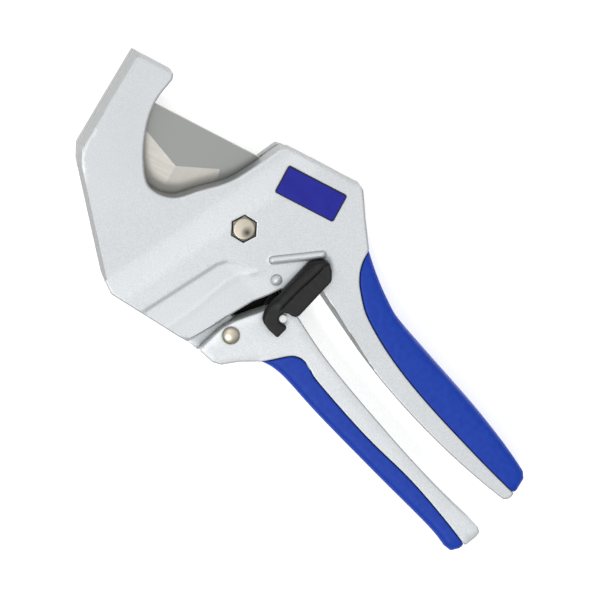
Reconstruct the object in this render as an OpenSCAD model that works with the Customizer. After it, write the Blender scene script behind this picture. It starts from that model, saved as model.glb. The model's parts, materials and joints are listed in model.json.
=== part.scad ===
// Ratchet pipe cutter for plastic pipe up to 42 mm, lying on its rear face with the handles closed.
// All outlines are drawn with the blade bolt at [0, 0] and are moved into the frame by at_frame().

/* [Castings] */
// Thickness of the whole body
body_t = 18; // [17.5:0.1:18.5]
// Height of the joint between the rear and front castings
seam_z = 7; // [6.8:0.1:7.2]
// Thickness of the rear wall under the blade
rear_wall = 5.3; // [5:0.1:5.3]
// Height of the lever head's underside
lever_z = 9; // [8.9:0.05:9.2]
// Height of the underside of the lever's handle
lever_foot_z = 1; // [0.6:0.1:2]
// Height of the ledge that the lever's heel passes over
ledge_z = 14; // [13:0.1:14]

/* [Blade] */
// Blade thickness
blade_t = 3; // [2.8:0.1:3]
// Side clearance of the blade in its bay
blade_gap = 0.2; // [0.15:0.05:0.25]
// Width of the ground bevels
bevel_w = 12.6; // [9:0.1:13]
// Radius over the ratchet teeth
tooth_r = 29.5; // [29:0.1:29.5]
// Depth of the ratchet teeth
tooth_h = 1.8; // [1.2:0.1:2]
// Angle between ratchet teeth
tooth_step = 6; // [5:0.5:8]

/* [Fasteners] */
// Blade bolt shank diameter
bolt_d = 6; // [5:0.5:6]
// Blade bolt head across flats
bolt_af = 9; // [8.5:0.1:9.1]
// Lever rivet shank diameter
rivet_d = 6; // [5:0.5:6]
// Lever rivet head diameter
rivet_head_d = 7.4; // [7:0.1:8]
// Body screw thread diameter
screw_d = 4; // [3:0.5:4]
// Body screw head diameter
screw_head_d = 7; // [6:0.5:7.5]

/* [Latch] */
// Height of the latch's top face
latch_top = 23.2; // [22:0.1:24]
// Height of the underside of the latch
latch_z = 18.3; // [18.2:0.05:18.6]
// Height of the underside of the latch's hook
hook_z = 19.6; // [19.4:0.1:20]

/* [Label] */
// Label plate length
label_w = 26.8; // [24:0.1:27]
// Label plate width
label_h = 12.2; // [10:0.1:12.5]

/* [Hidden] */
$fn = 48;

// The blade bolt's place in the frame, whose origin is under the middle of the whole tool
bolt_at = [-39.8, 5.35, 0];

// Colours
cast_silver = [0.84, 0.86, 0.87];
blade_grey = [0.62, 0.62, 0.60];
nickel = [0.82, 0.78, 0.70];
spring_grey = [0.45, 0.46, 0.48];
black_oxide = [0.12, 0.12, 0.12];
latch_black = [0.20, 0.21, 0.20];
grip_blue = [0.16, 0.27, 0.67];
label_blue = [0.11, 0.11, 0.55];

// Angle of the fixed handle's inner wall from upright
draft = 11;

// Heights
eps = 0.01;
bay_lo = rear_wall;
blade_z = bay_lo + blade_gap;
bay_hi = blade_z + blade_t + blade_gap;
tongue_lo = 5;
tongue_hi = 13;
tongue_inset = 3.2;
grip_gap = 0.3;
grip_proud = 0.4;

// Pivots
lever_at = [29.4, -32.4];
pawl_at = [38, -25];
latch_at = [35, 3];
peg_at = [37.9, -12.6];
hex_turn = 16;
bump_at = [24.5, -4];
stop_pin_at = 22 * [cos(-95), sin(-95)];
screws_at = [[-57, -25], [-31, -38], [3, -44], [25, 33.5], [58, 8.2]];
dowels_at = [[-45, -33], [35.5, 24]];
handle_pins_at = [[74, 15], [104, 14.5], [134, 14.5]];

// A smooth curve through the points p, with n segments between neighbours
function curve_at(a, b, c, d, t) =
    0.5 * (2 * b + (c - a) * t + (2 * a - 5 * b + 4 * c - d) * t * t + (3 * b - a - 3 * c + d) * t * t * t);
function smooth(p, n = 5) = concat(
    [for (i = [0:len(p) - 2]) for (k = [0:n - 1])
        curve_at(p[max(i - 1, 0)], p[i], p[i + 1], p[min(i + 2, len(p) - 1)], k / n)],
    [p[len(p) - 1]]
);
function arc(c, r, from, to, n) = [for (i = [0:n])
    let (a = from + (to - from) * i / n) c + r * [cos(a), sin(a)]];

// Inside of the jaw: down the hook, round the cradle and up to the shoulder
mouth = smooth([
    [-64.2, 18], [-62.3, 8], [-57.3, -1.2], [-48.3, -10.8], [-38, -16.9], [-28.6, -13],
    [-23.5, -3], [-18.3, 8], [-16, 20], [-15, 30]
]);
// Shoulder, top edge and corner
crown = [[-14.6, 32.4], [-12.2, 34.6], [-7.9, 36.3], [16, 45], [18.5, 46.1], [20.3, 45.8], [30, 38.8]];
// Outer edge of the fixed handle
handle_back = smooth([
    [41, 31.4], [50, 27.7], [60, 24.4], [72, 21.9], [92, 21.5], [122, 21.4], [143, 20.3], [154, 19]
]);
handle_end = [[156.6, 17.2], [158.4, 12], [158.5, 7.4], [157.2, 5.3]];
// Inner edge of the fixed handle: a shallow arc, then a straight run to the head
handle_front = concat(arc([98, 346.2], 346, -80.6, -94.6, 12), [[41.2, 4.9]]);
// Edge beside the lever, with a lug for the latch under it
lever_side = [
    [41.3, 1.5], [39.2, -1.6], [35.5, -2.8], [31.5, -3.4], [28.7, -5.2], [27.4, -10.2], [25, -16.7],
    [23.1, -27.2], [22.9, -32.2], [20.4, -45.2], [20.2, -47.1]
];
// Bottom of the body and outside of the hook
hook_back = [[-15.5, -56.8], [-22.3, -54.9], [-63.5, -32], [-68.3, -27.5], [-82, 14.2], [-65.9, 20.2]];
body_outline = concat(mouth, crown, handle_back, handle_end, handle_front, lever_side, hook_back);

// Ledge beside the lever's head and under its heel
ledge_outline = [
    [20, -40], [21, -26.8], [23.7, -27.1], [23.9, -30], [23.9, -37.2], [25.9, -38.4], [25.9, -46.3],
    [20.2, -47.1]
];
// Part of the lever's head that is cut away below, to clear the ledge
lever_relief = [[18, -31.5], [25.6, -31.5], [25.6, -37], [44, -37], [44, -50], [18, -50]];

// Lever: head, outer edge, end and inner edge
lever_outline = concat(
    [[24.9, -37], [25.3, -45.9], [33, -45.1], [36.2, -43.2], [40, -37.2]],
    smooth([
        [45.3, -31.2], [48.5, -29.6], [53, -28.4], [60, -27.8], [80, -27.8], [115, -26.4], [145, -24.9],
        [156, -25.5]
    ]),
    [[159.5, -24.9], [161.3, -21.5], [161.6, -13.5], [161.2, -10.8], [159, -9.9]],
    smooth([[157, -9.9], [135, -11.4], [105, -11.7], [66, -10.5], [43.6, -7.7]]),
    [[39, -7], [34.5, -9.8], [31.2, -15], [28.5, -21.4], [26, -27.7], [24.9, -33]]
);

// Where each grip covers its handle
fixed_grip_zone = concat(
    smooth([
        [40.6, 31.9], [42.9, 26.3], [46.7, 21.6], [52.5, 17.6], [62.3, 13.2], [81.5, 9.7], [105, 8.5],
        [137, 9.2], [159, 10.4]
    ]),
    [[170, 11], [170, 50], [41, 50]]
);
lever_grip_zone = concat(
    smooth([
        [44.8, -32.6], [48.3, -27.1], [52, -20.8], [54.7, -18.4], [58, -17.6], [62, -18.2], [69, -19.2],
        [98, -19.4], [124, -17.8], [145, -18.1], [162, -19.2]
    ]),
    [[170, -19.6], [170, -40], [40, -40]]
);

// Blade, closed: nose, spine, toothed tail, hub and the two cutting edges
blade_point = [-30.6, -16.9];
edge_left = [-58, -15.9];
edge_right = [-14.1, -1];
hub_r = 14;
tail_from = -30;
tail_to = 99;
teeth_to = 54;
spine_from = [-64.5, 4.6];
tooth_count = floor((teeth_to - tail_from) / tooth_step);
blade_outline = concat(
    [blade_point, edge_left, [-63.2, -6], spine_from],
    arc([0, 0], tooth_r - tooth_h, tail_to, teeth_to, 8),
    [for (i = [tooth_count - 1:-1:0]) each [
        tooth_r * [cos(tail_from + (i + 1) * tooth_step - 0.6), sin(tail_from + (i + 1) * tooth_step - 0.6)],
        (tooth_r - tooth_h) * [cos(tail_from + i * tooth_step + 0.4), sin(tail_from + i * tooth_step + 0.4)]
    ]],
    arc([0, 0], hub_r, tail_from, -176, 20),
    [edge_right]
);

// The latch: body plate above, hook below, open towards the lever's back
latch_outline = [
    [29.4, 14.2], [31, 15.9], [32.8, 16.5], [35.7, 15.2], [38.3, 13], [39, 11.8], [39.5, 6.4],
    [40.9, -6.3], [40.4, -7.9], [39, -8.8], [37.2, -9.2], [35.9, -10.1], [35.5, -11.5], [36, -13.2],
    [37.2, -14.2], [39.5, -13.4], [40.8, -13.1], [41.5, -14], [41.8, -18.3], [41.4, -19], [37.1, -19.4],
    [33.3, -19], [31.7, -18.1], [30, -15.2], [29.1, -11.1], [29.1, -5.8], [28.6, -1.2], [27.3, 10.7]
];

module at_frame() { translate(bolt_at) children(); }
module rounded(r) { offset(r) offset(delta = -2 * r) offset(r) children(); }
module slab(z0, z1) { translate([0, 0, z0]) linear_extrude(z1 - z0) children(); }
module hexagon(af) { rotate(hex_turn) circle(d = af / cos(30), $fn = 6); }
module body_shape() { rounded(1.2) polygon(body_outline); }
module lever_shape() { rounded(1.2) polygon(lever_outline); }
module fixed_grip_shape() { intersection() { body_shape(); polygon(fixed_grip_zone); } }
module lever_grip_shape() { intersection() { lever_shape(); polygon(lever_grip_zone); } }
module body_tongue_shape() {
    intersection() {
        offset(delta = -tongue_inset) body_shape();
        translate([44, 2]) square([130, 40]);
    }
}
module lever_tongue_shape() {
    intersection() {
        offset(delta = -tongue_inset) lever_shape();
        translate([50, -40]) square([120, 40]);
    }
}

// A wire of radius r along the points p, which run nearly level
function cross2(a) = [a.y, -a.x, 0] / norm([a.x, a.y]);
function along(p, i) = p[min(i + 1, len(p) - 1)] - p[max(i - 1, 0)];
module wire(p, r, sides = 6) {
    rings = [for (i = [0:len(p) - 1])
        let (d = along(p, i) / norm(along(p, i)), s = cross2(d), u = cross(s, d))
        for (k = [0:sides - 1]) p[i] + r * (cos(360 * k / sides) * s + sin(360 * k / sides) * u)];
    last = (len(p) - 1) * sides;
    polyhedron(rings, concat(
        [[for (k = [sides - 1:-1:0]) k], [for (k = [0:sides - 1]) last + k]],
        [for (i = [0:len(p) - 2]) for (k = [0:sides - 1])
            let (a = i * sides + k, b = i * sides + (k + 1) % sides) [a, b, b + sides, a + sides]]
    ));
}
// Torsion spring: turns of wire about +Z from z0, with a straight arm at each end
module torsion_spring(coil_r, wire_r, turns, z0, pitch, from, arm) {
    steps = 16;
    count = round(turns * steps);
    function coil(i) = let (a = from + 360 * i / steps)
        [coil_r * cos(a), coil_r * sin(a), z0 + pitch * i / steps];
    first = coil(0) + arm * [sin(from), -cos(from), 0];
    last_a = from + 360 * count / steps;
    last = coil(count) + arm * [-sin(last_a), cos(last_a), 0];
    wire(concat([first], [for (i = [0:count]) coil(i)], [last]), wire_r);
}

// The bay that the blade swings in: tail circle, jaw slot and pawl way
module blade_bay() {
    slab(bay_lo, bay_hi) circle(r = tooth_r + 0.8, $fn = 96);
    intersection() {
        slab(bay_lo, bay_hi) circle(r = 66.2, $fn = 96);
        slab(bay_lo, bay_hi) polygon([
            [0, 0], [17.5, 24.3], [-31, 59.5], [-90, 59], [-90, -16.9], [-30.9, -18.1], [0, 0]
        ]);
    }
    slab(bay_lo, lever_z) polygon([
        [18, -22], [24, -6.5], [30, -5], [45.5, -6.5], [46, -33], [34, -40], [24, -38]
    ]);
}

module screw_holes(z0, z1, d) { for (p = screws_at) translate([p.x, p.y, z0]) cylinder(d = d, h = z1 - z0); }

module front_body() {
    color(cast_silver) at_frame() difference() {
        union() {
            slab(seam_z, body_t) difference() {
                body_shape();
                offset(grip_gap) fixed_grip_shape();
            }
            slab(seam_z, tongue_hi) body_tongue_shape();
            slab(seam_z, ledge_z) polygon(ledge_outline);
            face_rib();
            translate([bump_at.x, bump_at.y, body_t - 1]) bump();
        }
        blade_bay();
        face_relief();
        // Bolt head pocket, bolt hole and spring pocket
        slab(body_t - 4.2, body_t + 1) hexagon(bolt_af + 0.9);
        translate([0, 0, bay_hi - 1]) cylinder(d = bolt_d + 0.1, h = body_t);
        translate([0, 0, bay_hi - eps]) cylinder(r = 10.5, h = 4.1);
        translate([stop_pin_at.x, stop_pin_at.y, bay_hi - 1]) cylinder(r = 2, h = 4);
        screw_holes(seam_z - 1, seam_z + 6, screw_d);
        for (p = dowels_at) translate([p.x, p.y, seam_z - 1]) cylinder(r = 1.5, h = 5);
        for (p = handle_pins_at) translate([p.x, p.y, seam_z - 1]) cylinder(r = 1.5, h = 8);
        translate([latch_at.x, latch_at.y, bay_hi + 1]) cylinder(r = 2, h = body_t);
    }
}

// Long raised rib beside the latch
module face_rib() {
    rib_from = [17.3, 0.3];
    rib_to = [28.9, 16.4];
    rib_turn = atan2(rib_to.y - rib_from.y, rib_to.x - rib_from.x);
    translate([rib_from.x, rib_from.y, body_t - 1]) rotate([0, 0, rib_turn]) {
        translate([0, -1.3, 0]) cube([norm(rib_to - rib_from), 2.6, 2.4]);
        cylinder(r = 1.3, h = 2.4);
        translate([norm(rib_to - rib_from), 0, 0]) cylinder(r = 1.3, h = 2.4);
    }
}
// Round stop for the latch, domed on top
module bump() {
    bump_r = 2.2;
    intersection() {
        sphere(r = 2.72);
        cylinder(r = bump_r, h = 4);
    }
}

// Steps in the front face: valley below the blade bolt, fall towards the hook
module face_relief() {
    valley_d = 0.8;
    translate([0, 0, body_t - valley_d]) linear_extrude(valley_d + 1) polygon([
        [-2.5, -60], [-1.2, -50], [3.7, -17.5], [5.2, -14], [9.1, -11.2], [15.4, -7], [17, -7.4],
        [13.2, -12.9], [11.6, -19.6], [11.2, -39.4], [10.1, -48.2], [9.5, -60]
    ]);
    // The hook's face falls away by about a millimetre
    translate([-11.8, 10.6, body_t]) rotate([0, 0, 91]) rotate([-1.2, 0, 0])
        translate([-90, 0, 0]) cube([180, 90, 5]);
    // Drafted inner wall of the fixed handle
    translate([40.9, 7, body_t]) rotate([0, 0, -9.87]) rotate([-draft, 0, 0])
        translate([0, -12, -11]) cube([45, 12, 14]);
}

// The rear casting before drilling: plate, tongue and ear, less the bay, plus the lever's boss
module rear_casting() {
    difference() {
        union() {
            slab(0, seam_z) difference() {
                intersection() {
                    body_shape();
                    // The crown and the hook's tip stand a little lower than in front
                    polygon([
                        [-90, 10.9], [-66, 19], [-17, 31], [-15, 31.5], [-12.5, 33.1], [17, 43.6], [30, 37],
                        [60, 37], [170, 30], [170, -70], [-90, -70]
                    ]);
                }
                offset(grip_gap) fixed_grip_shape();
            }
            slab(tongue_lo, seam_z) body_tongue_shape();
            slab(0, rear_wall) rounded(1.2) polygon(ear_outline);
        }
        blade_bay();
    }
    translate([lever_at.x, lever_at.y, 1]) cylinder(r = 7, h = lever_z - 0.75 - 1);
}
module rear_body() {
    color(cast_silver) at_frame() difference() {
        rear_casting();
        // Nut recess and bolt hole
        translate([0, 0, -1]) cylinder(d = 13, h = 4.3);
        translate([0, 0, -1]) cylinder(d = bolt_d + 0.1, h = 9);
        // Rivet hole with a seat for its rear head
        translate([lever_at.x, lever_at.y, -1]) cylinder(d = rivet_d, h = 12);
        translate([lever_at.x, lever_at.y, -1]) cylinder(d = rivet_head_d + 2, h = 2.6);
        screw_holes(-1, seam_z + 1, screw_d + 0.4);
        for (p = screws_at) translate([p.x, p.y, -eps])
            cylinder(d1 = screw_head_d + 0.6, d2 = screw_d + 0.4, h = 2.2);
        translate([stop_pin_at.x, stop_pin_at.y, 2]) cylinder(r = 2, h = 6);
        for (p = dowels_at) translate([p.x, p.y, 2]) cylinder(r = 1.5, h = 6);
        for (p = handle_pins_at) translate([p.x, p.y, 2]) cylinder(r = 1.5, h = 8);
        rear_pockets();
    }
}
ear_outline = [
    [0, -40], [10, -20], [24, -2], [36, 8], [41.3, 4.8], [41.9, -5], [43.2, -14], [43.4, -24], [41.3, -31],
    [37.4, -38], [32.6, -43.2], [24.5, -44], [20.2, -47.1], [8, -50.3]
];
// Shallow cored pockets that lighten the rear casting
module pocket() { slab(-1, 1.6) offset(2) offset(delta = -2) children(); }
module rear_pockets() {
    pocket() polygon([[-52, -29], [-38, -24], [-30, -27.5], [-26, -31], [-24, -38], [-34, -43.5]]);
    pocket() polygon([[-17, -16], [-9, -22], [-6, -33], [-7, -48], [-19, -50], [-22, -38], [-22, -22]]);
    pocket() polygon([[-9, 17], [-9, 31], [14, 39.5], [18, 35], [18, 25], [8, 17]]);
}

module blade() {
    color(blade_grey) at_frame() difference() {
        slab(blade_z, blade_z + blade_t) polygon(blade_outline);
        translate([0, 0, blade_z - 1]) cylinder(r = 5.05, h = blade_t + 2);
        bevels(edge_left, blade_point);
        bevels(blade_point, edge_right);
    }
}
// Ground bevels on both sides of the cutting edge from a to b, which has the blade on its left
module bevels(a, b) {
    turn = atan2(b.y - a.y, b.x - a.x);
    half = blade_t / 2;
    edge_half = 0.12;
    over = 12;
    translate([a.x, a.y, blade_z + half]) rotate([0, 0, turn]) for (side = [0, 1]) mirror([0, 0, side])
        translate([a == edge_left ? -over : 0, 0, 0]) rotate([90, 0, 90])
        linear_extrude(norm(b - a) + (a == edge_left ? over : 0.1))
            polygon([[-3, edge_half], [0, edge_half], [bevel_w, half], [bevel_w, half + 2], [-3, half + 2]]);
}

module blade_bolt() {
    color(nickel) at_frame() {
        intersection() {
            slab(body_t - 4.1, body_t + 0.4) hexagon(bolt_af);
            translate([0, 0, body_t - 4.1]) cylinder(r1 = 8.9, r2 = 4.6, h = 4.5, $fn = 64);
        }
        translate([0, 0, 0.3]) cylinder(d = bolt_d, h = body_t - 4);
    }
}
module blade_bush() {
    color(nickel) at_frame() translate([0, 0, bay_lo]) difference() {
        cylinder(r = 5, h = bay_hi - bay_lo);
        translate([0, 0, -1]) cylinder(d = bolt_d + 0.04, h = 9);
    }
}
module blade_nut() {
    color(nickel) at_frame() difference() {
        slab(0.2, 3.3) hexagon(bolt_af);
        translate([0, 0, -1]) cylinder(d = bolt_d, h = 9);
    }
}
module blade_spring() {
    color(spring_grey) at_frame() torsion_spring(7, 0.5, 2.5, bay_hi + 0.6, 1.05, 200, 4);
}
module blade_stop_pin() {
    color(spring_grey) at_frame() translate([stop_pin_at.x, stop_pin_at.y, 2])
        cylinder(r = 2, h = bay_hi + 1);
}

module lever() {
    color(cast_silver) at_frame() difference() {
        union() {
            slab(lever_z, body_t) difference() {
                lever_shape();
                offset(grip_gap) lever_grip_shape();
            }
            slab(lever_foot_z, body_t) difference() {
                intersection() {
                    lever_shape();
                    translate([51, -40]) square([120, 40]);
                }
                offset(grip_gap) lever_grip_shape();
            }
            slab(tongue_lo, tongue_hi) lever_tongue_shape();
            translate([peg_at.x, peg_at.y, body_t - 1]) cylinder(r = 1.7, h = 2.2);
        }
        slab(lever_z - 1, ledge_z + 0.3) polygon(lever_relief);
        translate([lever_at.x, lever_at.y, lever_z - 1]) cylinder(d = rivet_d + 0.1, h = 20);
        translate([lever_at.x, lever_at.y, lever_z - 1]) cylinder(r = 4.9, h = 4.6);
        translate([pawl_at.x, pawl_at.y, lever_z - 1]) cylinder(r = 2, h = 6);
        translate([pawl_at.x, pawl_at.y, lever_z - 1]) cylinder(r = 4.2, h = 3.6);
    }
}
module lever_rivet() {
    color(nickel) at_frame() translate([lever_at.x, lever_at.y, 0]) {
        translate([0, 0, 0.4]) cylinder(d = rivet_d, h = body_t - 0.3);
        translate([0, 0, 0.3]) cylinder(d = rivet_head_d, h = 1.3);
        // Domed front head
        intersection() {
            translate([0, 0, body_t + 0.05]) cylinder(d = rivet_head_d, h = 3);
            translate([0, 0, body_t + 1.9 - 5]) sphere(r = 5, $fn = 64);
        }
    }
}
module lever_washer() {
    color(spring_grey) at_frame() translate([lever_at.x, lever_at.y, lever_z - 0.75]) difference() {
        cylinder(r = 6.6, h = 0.6);
        translate([0, 0, -1]) cylinder(d = rivet_d + 0.1, h = 3);
    }
}
module lever_spring() {
    color(spring_grey) at_frame() translate([lever_at.x, lever_at.y, 0])
        torsion_spring(4.1, 0.45, 2.5, lever_z + 0.6, 0.95, 150, 0.6);
}

module pawl() {
    color(black_oxide) at_frame() difference() {
        union() {
            translate([pawl_at.x, pawl_at.y, blade_z]) cylinder(r = 3.6, h = blade_t);
            slab(blade_z, blade_z + blade_t) polygon([
                [28.6, -8.75], [31.6, -8.3], [33.2, -10.6], [41.1, -23.2], [38, -25], [34.75, -26.5],
                [32, -18]
            ]);
        }
        translate([pawl_at.x, pawl_at.y, blade_z - 1]) cylinder(r = 2.04, h = 9);
    }
}
module pawl_pin() {
    color(spring_grey) at_frame() translate([pawl_at.x, pawl_at.y, blade_z]) cylinder(r = 2, h = 8.4);
}
module pawl_spring() {
    color(spring_grey) at_frame() translate([pawl_at.x, pawl_at.y, 0])
        torsion_spring(3.2, 0.35, 2, lever_z + 0.4, 0.78, 60, 0.4);
}

module latch() {
    color(latch_black) at_frame() difference() {
        union() {
            slab(hook_z, latch_top) rounded(0.6) polygon(latch_outline);
            slab(latch_z, latch_top) intersection() {
                rounded(0.6) polygon(latch_outline);
                translate([0, -5.5]) square([60, 30]);
            }
        }
        // Rounded-off left flank
        translate([28.2, 0, latch_top - 2.6]) rotate([0, -45, 0]) translate([-8, -30, 0]) cube([8, 60, 8]);
        translate([latch_at.x, latch_at.y, latch_z - 1]) cylinder(r = 2.05, h = 3.5);
    }
}
module latch_pin() {
    color(nickel) at_frame() translate([latch_at.x, latch_at.y, bay_hi + 1])
        cylinder(r = 2, h = latch_z + 2.3 - bay_hi - 1);
}
module latch_spring_washer() {
    color(spring_grey) at_frame() translate([latch_at.x, latch_at.y, body_t]) difference() {
        cylinder(r = 4.2, h = latch_z - body_t - 0.02);
        translate([0, 0, -1]) cylinder(r = 2.05, h = 3);
    }
}

module fixed_grip() {
    color(grip_blue) at_frame() difference() {
        slab(0.2, body_t + grip_proud) fixed_grip_shape();
        slab(tongue_lo - 0.05, tongue_hi + 0.05) offset(0.05) body_tongue_shape();
    }
}
module lever_grip() {
    color(grip_blue) at_frame() difference() {
        slab(0.6, body_t + grip_proud) lever_grip_shape();
        slab(tongue_lo - 0.05, tongue_hi + 0.05) offset(0.05) lever_tongue_shape();
    }
}
module label_plate() {
    color(label_blue) at_frame() translate([7.1, 29.2, body_t]) rotate([0, 0, 20.6])
        translate([-label_w / 2, -label_h / 2, 0]) cube([label_w, label_h, 0.5]);
}
module body_screws() {
    color(nickel) at_frame() for (p = screws_at) translate([p.x, p.y, 0.15]) {
        difference() {
            union() {
                cylinder(d1 = screw_head_d, d2 = screw_d, h = 2);
                cylinder(d = screw_d, h = seam_z + 5);
            }
            slab(-1, 1.4) hexagon(2.5);
        }
    }
}
module dowel_pins() {
    color(spring_grey) at_frame() for (p = dowels_at) translate([p.x, p.y, 2]) cylinder(r = 1.5, h = 9);
}
module handle_pins() {
    color(spring_grey) at_frame() for (p = handle_pins_at) translate([p.x, p.y, tongue_lo + 0.5])
        cylinder(r = 1.5, h = 7);
}

front_body();
rear_body();
blade();
blade_bolt();
blade_bush();
blade_nut();
blade_spring();
blade_stop_pin();
lever();
lever_rivet();
lever_washer();
lever_spring();
pawl();
pawl_pin();
pawl_spring();
latch();
latch_pin();
latch_spring_washer();
fixed_grip();
lever_grip();
label_plate();
body_screws();
dowel_pins();
handle_pins();
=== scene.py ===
"""Ratchet pipe cutter lying closed on a pale floor, seen from its front face."""
import json
import math

import bmesh
import bpy
import numpy as np
from mathutils import Matrix, Vector
from mathutils.geometry import delaunay_2d_cdt


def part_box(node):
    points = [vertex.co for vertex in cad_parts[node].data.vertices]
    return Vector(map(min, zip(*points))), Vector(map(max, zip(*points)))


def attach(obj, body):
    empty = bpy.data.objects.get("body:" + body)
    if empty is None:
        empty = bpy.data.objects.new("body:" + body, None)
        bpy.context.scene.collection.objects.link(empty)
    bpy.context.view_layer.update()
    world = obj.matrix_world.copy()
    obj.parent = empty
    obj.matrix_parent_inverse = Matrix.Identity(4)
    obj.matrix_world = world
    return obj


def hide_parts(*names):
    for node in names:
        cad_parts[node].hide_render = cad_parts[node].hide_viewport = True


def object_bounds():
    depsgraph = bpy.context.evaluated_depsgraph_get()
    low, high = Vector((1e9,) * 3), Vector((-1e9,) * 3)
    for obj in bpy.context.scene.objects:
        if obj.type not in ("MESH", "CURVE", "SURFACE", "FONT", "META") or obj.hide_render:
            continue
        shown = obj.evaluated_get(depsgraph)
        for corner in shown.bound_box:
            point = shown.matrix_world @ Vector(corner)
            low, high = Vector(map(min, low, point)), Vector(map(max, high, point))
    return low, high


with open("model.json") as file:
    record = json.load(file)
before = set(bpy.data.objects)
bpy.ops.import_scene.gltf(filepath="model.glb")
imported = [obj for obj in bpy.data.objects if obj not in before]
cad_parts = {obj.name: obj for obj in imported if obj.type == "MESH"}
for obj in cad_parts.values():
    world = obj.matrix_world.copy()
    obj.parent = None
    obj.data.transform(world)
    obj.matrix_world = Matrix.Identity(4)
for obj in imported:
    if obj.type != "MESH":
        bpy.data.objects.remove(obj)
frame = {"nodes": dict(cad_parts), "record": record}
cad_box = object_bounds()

MM = 0.001
scene = bpy.context.scene
nodes = frame["nodes"]

# Outlines and places below are in millimetres from the blade bolt; heights are from the floor.
BOLT = (np.array(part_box("blade_bolt")[0]) + np.array(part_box("blade_bolt")[1]))[:2] / 2 / MM
SEAM_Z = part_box("front_body")[0].z / MM
FACE_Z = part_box("label_plate")[0].z / MM
BAY_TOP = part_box("blade_bush")[1].z / MM
BAY_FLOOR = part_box("blade_bush")[0].z / MM
LATCH_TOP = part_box("latch")[1].z / MM
# Radius of the castings' outer edges
CAST_ROUND = 0.8
# Faces of the joined castings count as upright walls, and are shaded flat, up to this slope
WALL_NORMAL = 0.08


# ---------------------------------------------------------------- outlines from the frame
# Keeps a cut off the points that lie exactly at its height
CUT_SHIFT = 0.00037


def slice_loops(node, z):
    """Closed outlines of a CAD node cut level at height z, largest first."""
    mesh = nodes[node].data
    mesh.calc_loop_triangles()
    co = np.array([v.co[:] for v in mesh.vertices]) / MM
    z = z + CUT_SHIFT
    links = {}
    for tri in mesh.loop_triangles:
        p = co[list(tri.vertices)]
        side = p[:, 2] > z
        if side.all() or not side.any():
            continue
        cut = []
        for i in range(3):
            a, b = sorted((p[i], p[(i + 1) % 3]), key=tuple)
            if (a[2] > z) != (b[2] > z):
                cut.append(a + (b - a) * (z - a[2]) / (b[2] - a[2]))
        key = [tuple(np.round(c[:2] - BOLT, 3)) for c in cut]
        if key[0] != key[1]:
            links.setdefault(key[0], set()).add(key[1])
            links.setdefault(key[1], set()).add(key[0])
    loops = []
    while links:
        start = next(iter(links))
        loop, here, last = [start], start, None
        while True:
            ahead = [q for q in links[here] if q != last]
            if not ahead:
                break
            last, here = here, ahead[0]
            if here == start:
                break
            loop.append(here)
        for q in loop:
            links.pop(q, None)
        if len(loop) > 3:
            loops.append(tidy_loop(np.array(loop)))
    return sorted(loops, key=lambda q: -abs(area(q)))


def area(p):
    """Area in a loop, positive if it runs anticlockwise."""
    q = np.roll(p, -1, axis=0)
    return 0.5 * float(np.sum(p[:, 0] * q[:, 1] - q[:, 0] * p[:, 1]))


def tidy_loop(p, slack=0.012):
    """The loop anticlockwise, with only the points needed to stay within slack of it."""
    if area(p) < 0:
        p = p[::-1]
    p = np.roll(p, -int(np.argmax(p[:, 0])), axis=0)
    ring = np.vstack([p, p[:1]])
    keep, i, last = [0], 0, len(p)
    while i < last:
        j = i + 1
        while j < last:
            a, d = ring[i], ring[j + 1] - ring[i]
            between = ring[i + 1 : j + 1] - a
            off = np.abs(between[:, 0] * d[1] - between[:, 1] * d[0]) / max(np.hypot(*d), 1e-9)
            if off.max() > slack:
                break
            j += 1
        keep.append(j)
        i = j
    return p[keep[:-1]]


def split_long(p, step):
    """The loop with its long edges cut into pieces no longer than step."""
    out = []
    for a, b in zip(p, np.roll(p, -1, axis=0)):
        n = max(1, int(math.ceil(np.hypot(*(b - a)) / step)))
        out += [a + (b - a) * i / n for i in range(n)]
    return np.array(out)


def distance(points, loop, closed=True):
    """Distance from each point to the nearest place on the loop."""
    a = loop if closed else loop[:-1]
    b = np.roll(loop, -1, axis=0) if closed else loop[1:]
    best = np.full(len(points), 1e9)
    for i in range(len(a)):
        d = b[i] - a[i]
        t = np.clip(((points - a[i]) @ d) / max(d @ d, 1e-12), 0, 1)
        best = np.minimum(best, np.hypot(*(points - a[i] - t[:, None] * d).T))
    return best


def inside(points, loop):
    """Whether each point lies in the loop."""
    x, y = points[:, 0], points[:, 1]
    odd = np.zeros(len(points), bool)
    for (ax, ay), (bx, by) in zip(loop, np.roll(loop, -1, axis=0)):
        if ay == by:
            continue
        crossing = ((ay > y) != (by > y)) & (x < (bx - ax) * (y - ay) / (by - ay) + ax)
        odd ^= crossing
    return odd


def depth_in(points, loop):
    """Distance to the loop, positive inside it and negative outside."""
    return np.where(inside(points, loop), 1, -1) * distance(points, loop)


# ---------------------------------------------------------------- solids with shaped faces
def quarter_round(d, r):
    """How far the face has dropped at a distance d inside an edge rounded to radius r."""
    t = np.clip(d / r, 0, 1)
    return r * (1 - np.sqrt(np.clip(1 - (1 - t) ** 2, 0, 1)))


def round_rings(r, n=4):
    return [r * (1 - math.cos(math.pi / 2 * k / n)) for k in range(1, n + 1)]


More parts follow.
